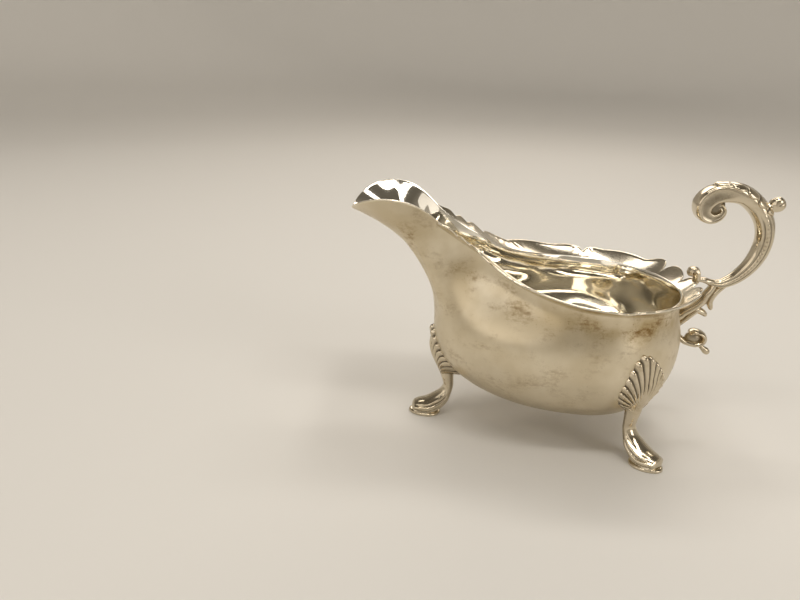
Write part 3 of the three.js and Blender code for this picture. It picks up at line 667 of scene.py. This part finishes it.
CURL = [[65.2, 71.6, 1.4, 2.6], [65.4, 74.8, 1.6, 2.8], [64.7, 77.2, 1.7, 2.9], [62.9, 77.6, 1.5, 2.8],
        [62.2, 76.1, 1.2, 2.6], [63.5, 75.0, 0.9, 2.4]]
STRUT = [[73.6, 71.2, 1.6, 2.4], [72.6, 69.0, 1.8, 2.6], [70.9, 66.1, 2, 2.6], [69.5, 63, 2.1, 2.6],
         [65.9, 59.7, 2, 2.6], [62.4, 57.4, 2.2, 2.9], [60.7, 55.9, 2.4, 3.2], [57.5, 54.5, 2.6, 3.4]]
HOOK = [[79.5, 72.3, 1.2, 1.8], [75.8, 68.8, 1.4, 2], [73.8, 65.8, 1.5, 2], [73, 63.2, 1.5, 1.9],
        [73.7, 60.8, 1.2, 1.6], [74.3, 59.1, 0.7, 1]]
SPUR = [[65.5, 60.2, 1.5, 2.2], [68.6, 58.9, 1.6, 2.2], [71.0, 57.7, 1.4, 1.9], [72.7, 56.1, 0.8, 1.2]]
ROOT = [[69.2, 60.0, 1.2, 2.2], [66.5, 57.6, 1.4, 2.4], [64.2, 55.6, 1.5, 2.6], [62.2, 53.8, 1.5, 2.8],
        [60.8, 52.2, 1.2, 2.8], [59.8, 51.4, 1, 2.6]]
LOWER = [[58.8, 48.6, 1.1, 2.4], [60.2, 47.3, 1.3, 2.8], [61.9, 45.6, 1.4, 3.2], [64.2, 43.9, 1.5, 3.6],
         [66.9, 43.1, 1.6, 3.9], [69.6, 42.8, 1.6, 4], [72, 43.6, 1.6, 4], [73, 45.3, 1.5, 3.9],
         [72.3, 47.1, 1.4, 3.8], [70.6, 48.1, 1.3, 3.7], [68.3, 48.4, 1.2, 3.5], [66.2, 47.4, 0.9, 3]]
DROP = [[72.2, 41.7, 0.9, 1], [73.6, 40.5, 1.2, 1.4], [75, 39.4, 1.6, 1.7],
        [76.2, 38.4, 1.3, 1.4], [76.9, 37.8, 0.6, 0.7]]

# Each row: the pieces' name, the node they stand for, and the bars: rows, steps and relief.
SMALL = (("handle_root_curl_chased", "handle_root_curl",
          [(CURL, 64, ribbed(7, 0.3, 0.3, 1.0))]),
         ("handle_strut_branched", "handle_strut",
          [(STRUT, 96, ribbed(4, 0.2, 0.05, 0.9)), (HOOK, 56, None), (SPUR, 40, None),
           (ROOT, 48, None)]),
         ("lower_scroll_with_drop", "lower_scroll", [(LOWER, 150, None), (DROP, 40, None)]))
for name, node, bars in SMALL:
    for number, (rows, steps, relief) in enumerate(bars):
        grid, recess = swept(rows, steps, 44, (0.6, 1.0), relief)
        part_name = name if number == 0 else f"{name}_{number + 1}"
        stand_for(closed_mesh(part_name, stop_in_wall(grid), recess, 0.8), node, CAST)

# The hollow of the lower scroll is filled by a web, like the volute's.
web = pebble((68.6, 45.4), (4.0, 3.0, 2.6), 28, 44)
# Like that web it is darkened all over, with a recess of 0.5: painted shade and residue.
stand_for(closed_mesh("lower_scroll_web", web, 0.5, 0.8), "lower_scroll", CAST)

# %% [markdown]
# ## The legs
# Each leg is cast in one with its shell. It leaves the knee, narrows to an ankle and flares into
# a hoof that turns outwards on a flat, oval sole. The leg is swept in its own upright plane, then
# turned round the boat. Grooves slant down over the hoof, and the part of the leg that would pass
# through the bowl's wall is pressed flat inside it, so nothing shows within.

# %% Place a leg
# Each row: a name; the leg's centre, turn, and how much higher its knee is; then the shell's
# centre, turn, lean, height, and how much nearer the knee is to that centre.
LEGS = (("front", (0, 180, 0), (0, 180, 0, 25.0, 0)),
        ("rear_left", (7.6, 48, 3.2), (16.5, 58, -14, 29.5, -5.4)),
        ("rear_right", (7.6, -48, 3.2), (16.5, -58, 14, 29.5, -5.4)))

LOWEST_SKIN = 13                # below this height a leg is clear of the belly
DRAWN_OUT = (15, 24)            # the heights between which a rear leg is longer than the front one


def on_leg(centre, turn, out, across, up):
    """From a leg's own plane to the boat's frame."""
    c, s = np.cos(np.radians(turn)), np.sin(np.radians(turn))
    x = centre + SHIFT + out * c - across * s
    return np.stack([x, out * s + across * c, up + 0 * out], axis=-1)


def belly_out(centre, turn, across, up):
    """How far out from the leg's centre the belly's skin is. The belly's level section is an
    ellipse, so this is the positive root of a quadratic."""
    c, s = np.cos(np.radians(turn)), np.sin(np.radians(turn))
    drop = np.clip((WIDEST - np.maximum(up, LOWEST_SKIN)) / (WIDEST - BOTTOM), 0, 0.999)
    reach = (1 - drop ** ROUNDNESS) ** (1 / ROUNDNESS)
    length = (BELLY_REAR if c > 0 else BELLY_FRONT) * reach
    dx, dy = c / length, s / (BELLY_SIDE * reach)
    ex = (centre - across * s - (BELLY_MID - SHIFT)) / length
    ey = across * c / (BELLY_SIDE * reach)
    a, b, k = dx * dx + dy * dy, dx * ex + dy * ey, ex * ex + ey * ey - 1
    return (-b + np.sqrt(np.maximum(b * b - a * k, 0))) / a


# %% Cast the legs
LEG = [[40, 33, 5.4, 5.6], [42.4, 28.6, 5.2, 5.2], [43.4, 24.6, 4.2, 4.6], [43.4, 21.2, 3.4, 4.1],
       [42.8, 17.6, 2.7, 3.7], [42.6, 14.4, 2.5, 3.5], [44, 10.6, 3, 4], [47, 7, 3.8, 5],
       [51.4, 3.9, 4.1, 5.8], [55.8, 2.8, 3.8, 5.4], [59.4, 2.1, 2.9, 4.1]]
SOLE = {"middle": 53.2, "long": 7.6, "wide": 6.4, "high": 1.5, "taper": 0.16}
GROOVE_SLANT = 14


def hoof_relief(t, u):
    """Grooves from the ankle down over the hoof, slanted from the middle to each side."""
    side = np.where(np.sin(u) >= 0, 1, -1)
    live = fade(t, 0.56, 0.68) * (1 - fade(t, 0.95, 1.0)) * fade(np.cos(u), -0.65, -0.3)
    wave = np.abs(np.cos(4.5 * u - side * GROOVE_SLANT * (t - 0.55)))
    groove = hump(wave, 0, 0.34) * live
    # The grooves are darkened by the recess value: residue and painted shade.
    return 0.55 * wave * live - 0.75 * groove, groove


def sole_grid():
    """An oval pad, flat below and rounded above, in rings from the underside up. It is narrower at
    the toe than at the heel."""
    height = np.array([0, 0, 0, 0.25, 0.6, 0.85, 1, 1, 1])
    reach = np.array([0, 0.6, 0.96, 1, 1, 0.97, 0.88, 0.5, 0])
    u = 2 * np.pi * np.arange(72) / 72
    toe = 1 - SOLE["taper"] * np.cos(u)
    out = SOLE["middle"] + SOLE["long"] * reach[:, None] * np.cos(u)
    across = SOLE["wide"] * reach[:, None] * np.sin(u) * toe
    return out, across, SOLE["high"] * height[:, None] + 0 * out


for name, (centre, turn, rise), _ in LEGS:
    grid, recess = swept(LEG, 200, 64, (0.6, 1.9), hoof_relief)
    out, across, up = grid[..., 0] - SHIFT, grid[..., 1], grid[..., 2]
    up = np.maximum(up + rise * fade(up, *DRAWN_OUT), 0)
    wall = belly_out(centre, turn, across, up) - WALL / 2
    out = np.where(up > LOWEST_SKIN, np.maximum(out, wall), out)
    hoof, sole = on_leg(centre, turn, out, across, up), on_leg(centre, turn, *sole_grid())
    stand_for(closed_mesh(f"leg_{name}_hoof", hoof, recess, 0.6), f"leg_{name}", CAST)
    stand_for(closed_mesh(f"leg_{name}_sole", sole, 0, 0.6), f"leg_{name}", CAST)

# %% [markdown]
# ## The shells
# The knee of each leg is a scallop shell laid on the belly. Its flutes fan out from a point at
# the foot of the knee, shallow there and deep at the edge, where each ends in a round lobe. The
# valleys between are sharp and painted dark, with black residue and painted shade.

# %% Model a shell
FOCUS, SPREAD, FLUTES, LIP = 20.4, 74, 19, 1.8
KNEE_BREADTH = 18
# The shell's edge: the angle from its middle line, and how far out it is as a part of the height.
SHELL_EDGE = np.array([[0, 1], [6, 0.955], [15, 0.84], [27, 0.7], [40, 0.59], [48, 0.5],
                       [58, 0.34], [66, 0.22], [74, 0.12]])
# The knee under the shell, on its middle line: how far out it is, and its height.
KNEE = np.array([[46.4, 20], [48.8, 23], [51.2, 28], [52.4, 33], [51.6, 39], [50.4, 46]])


def shell_grid(rise, centre, turn, lean, height, nearer):
    """Rows go across the fan. Each row is one section: out over the top, then back inside the wall.
    The top is the higher of the belly plus the shell's lip and the knee, plus the flutes."""
    across_steps, ribs = 260, 34
    fan = np.linspace(-1, 1, across_steps)[:, None]
    angle = np.radians(SPREAD) * fan
    beat = np.abs(np.cos(np.pi * FLUTES * (fan + 1) / 2 + np.pi / 2))
    edge = curve_through(SHELL_EDGE[:, 0], SHELL_EDGE[:, 1:], np.abs(SPREAD * fan[:, 0]))
    reach = height * edge * (0.95 + 0.05 * beat ** 0.6)
    share = np.linspace(0, 1, ribs)[None, :] ** 0.85
    sweep = angle + np.radians(lean)
    side, up = -reach * share * np.sin(sweep), FOCUS + rise + reach * share * np.cos(sweep)
    knee_share = (up - rise - KNEE[0, 1]) / (KNEE[-1, 1] - KNEE[0, 1])
    knee = along_rows(KNEE[:, :1], knee_share)[..., 0] + nearer
    skin = belly_out(centre, turn, side, up)
    depth = (0.35 + 0.75 * share ** 1.2) * np.clip(edge * 2.4, 0, 1)
    flute = depth * (beat ** 0.9 - 0.7) * fade(share, 0.25, 0.5)
    knuckle = 0.15 * hump(share, 0.93, 0.05) * beat
    body = np.maximum(skin + LIP, knee - side ** 2 / KNEE_BREADTH)
    rim = np.sqrt(np.clip(1 - ((share - 0.9) / 0.1).clip(0, 1) ** 2, 0, 1))
    top = skin - 0.3 + (body + flute + knuckle - skin + 0.3) * (0.1 + 0.9 * rim)
    back = np.minimum(skin - WALL / 2, top - 0.3)
    out = np.hstack([top, back[:, ::-1]])
    side, up = np.hstack([side, side[:, ::-1]]), np.hstack([up, up[:, ::-1]])
    # The valleys between the flutes are darkened: residue and painted shade.
    valley_residue_and_shade = hump(beat, 0, 0.45) * fade(share, 0.3, 0.5)
    return with_poles(on_leg(centre, turn, out, side, up), np.hstack([valley_residue_and_shade, 0 * valley_residue_and_shade]))


for name, (_, _, rise), shell in LEGS:
    grid, recess = shell_grid(rise, *shell)
    stand_for(closed_mesh(f"shell_{name}_fluted", grid, recess, 0.6), f"shell_{name}", CAST)

# %% [markdown]
# ## Floor, light and camera
# Silver shows what stands round it, so the studio matters as much as the metal. The floor is
# plain and pale, and curves up into a round wall. Three long soft strips hang overhead, and wide
# soft lights stand to the left, the right and the back. The room above is darker than the floor,
# which gives the bright inside of the bowl something to reflect.

# %% Lay the floor
# The floor's profile in metres: radius and height.
PROFILE = np.array([[0.02, 0], [0.5, 0], [1.0, 0], [1.3, 0], [1.6, 0.03], [1.8, 0.12],
                    [1.9, 0.35], [1.95, 0.75]])
FLOOR_SIDES = 128


def dish_grid():
    """A level floor that curves up into a round wall: the profile, turned about the upright."""
    line = along_rows(PROFILE, np.linspace(0, 1, 90))
    u = 2 * np.pi * np.arange(FLOOR_SIDES) / FLOOR_SIDES
    return np.stack([line[:, :1] * np.cos(u), line[:, :1] * np.sin(u), line[:, 1:] + 0 * u], axis=-1)


sweep = dish_grid()
here = np.arange(sweep.shape[0] * FLOOR_SIDES).reshape(-1, FLOOR_SIDES)
across = np.roll(here, -1, axis=1)
faces = np.stack([here[:-1], across[:-1], across[1:], here[1:]], axis=-1).reshape(-1, 4)[:, ::-1]
floor_mesh = bpy.data.meshes.new("floor")
floor_mesh.from_pydata(sweep.reshape(-1, 3).tolist(), [], faces.tolist() + [here[0].tolist()])
floor_mesh.polygons.foreach_set("use_smooth", np.ones(len(floor_mesh.polygons), bool))
floor = bpy.data.objects.new("floor", floor_mesh)
bpy.context.scene.collection.objects.link(floor)
paper = blank("floor_pale_paper")
paper_place = add(paper, "ShaderNodeTexCoord").outputs["Object"]
grain = add(paper, "ShaderNodeTexNoise", {"Vector": paper_place, "Scale": 900.0, "Detail": 3.0})
paper_bump = add(paper, "ShaderNodeBump",
                 {"Height": grain.outputs["Fac"], "Distance": 0.1 * MM, "Strength": 0.2}).outputs[0]
paper_shader = add(paper, "ShaderNodeBsdfPrincipled",
                   {"Base Color": linear("#dcdad6"), "Roughness": 0.75, "Normal": paper_bump})
add(paper, "ShaderNodeOutputMaterial", {"Surface": paper_shader.outputs[0]})
floor_mesh.materials.append(paper)

# %% Hang the lights
LIGHTS = (  # name, place in metres, size, power in watts, colour
    ("strip_front", (0.0, -0.5, 1.2), (1.3, 0.16), 4, "#fff9f0"),
    ("strip_middle", (0.1, 0.0, 1.25), (1.3, 0.16), 4, "#fff9f0"),
    ("strip_back", (0.0, 0.5, 1.2), (1.3, 0.16), 4, "#fff9f0"),
    ("left", (-1.2, -1.0, 0.8), (1.6, 1.2), 4.5, "#fff8f0"),
    ("right", (1.2, -1.0, 0.7), (0.7, 0.9), 5, "#fffaf4"),
    ("back", (0.2, 1.3, 0.8), (1.2, 0.4), 4, "#fff4e6"))
AIM = (0, 0, 0.05)
for name, place, size, power, colour in LIGHTS:
    lamp = bpy.data.lights.new(name, "AREA")
    lamp.shape, lamp.size, lamp.size_y = "RECTANGLE", size[0], size[1]
    lamp.energy, lamp.color = power, linear(colour)[:3]
    light = bpy.data.objects.new(name, lamp)
    bpy.context.scene.collection.objects.link(light)
    light.visible_camera = False
    light.location = place
    light.rotation_mode = "QUATERNION"
    light.rotation_quaternion = (Vector(AIM) - Vector(place)).to_track_quat("-Z", "Y")

world = bpy.data.worlds.new("room")
world.use_nodes = True
world.node_tree.nodes.clear()
# The room is pale round the boat and darker overhead, by the height of the direction looked in.
LOW_ROOM, HIGH_ROOM = linear("#d2c8b8"), linear("#766f64")
direction = add(world, "ShaderNodeTexCoord").outputs["Generated"]
height = add(world, "ShaderNodeSeparateXYZ", {0: direction}).outputs["Z"]
upward = add(world, "ShaderNodeMapRange", {"Value": height, "From Min": 0.3, "From Max": 0.75})
sky = add(world, "ShaderNodeMix", {"Factor": upward.outputs[0], "A": LOW_ROOM, "B": HIGH_ROOM},
          data_type="RGBA").outputs["Result"]
glow = add(world, "ShaderNodeBackground", {"Color": sky, "Strength": 0.7}).outputs[0]
add(world, "ShaderNodeOutputWorld", {"Surface": glow})
# Light goes to and fro inside a silver bowl many times before it comes out.
bpy.context.scene.cycles.max_bounces = 24
bpy.context.scene.cycles.glossy_bounces = 20
bpy.context.scene.world = world

# %% Set the camera
# Its place is in metres, and its three directions are right, up and back.
CAMERA_PLACE = (-0.0574, -0.3264, 0.1657)
RIGHT = (0.99783, 0.05374, 0.03810)
CAMERA_UP = (-0.05320, 0.31618, 0.94720)
BACK = (0.03886, -0.94717, 0.31836)
lens = bpy.data.cameras.new("camera")
lens.lens, lens.sensor_width = 33.43, 36
lens.clip_start, lens.clip_end = 0.01, 20
camera = bpy.data.objects.new("camera", lens)
turn_to = Matrix(np.array([RIGHT, CAMERA_UP, BACK]).T.tolist()).to_4x4()
camera.matrix_world = Matrix.Translation(CAMERA_PLACE) @ turn_to
bpy.context.scene.collection.objects.link(camera)
bpy.context.scene.camera = camera
bpy.context.scene.view_settings.view_transform = "Standard"
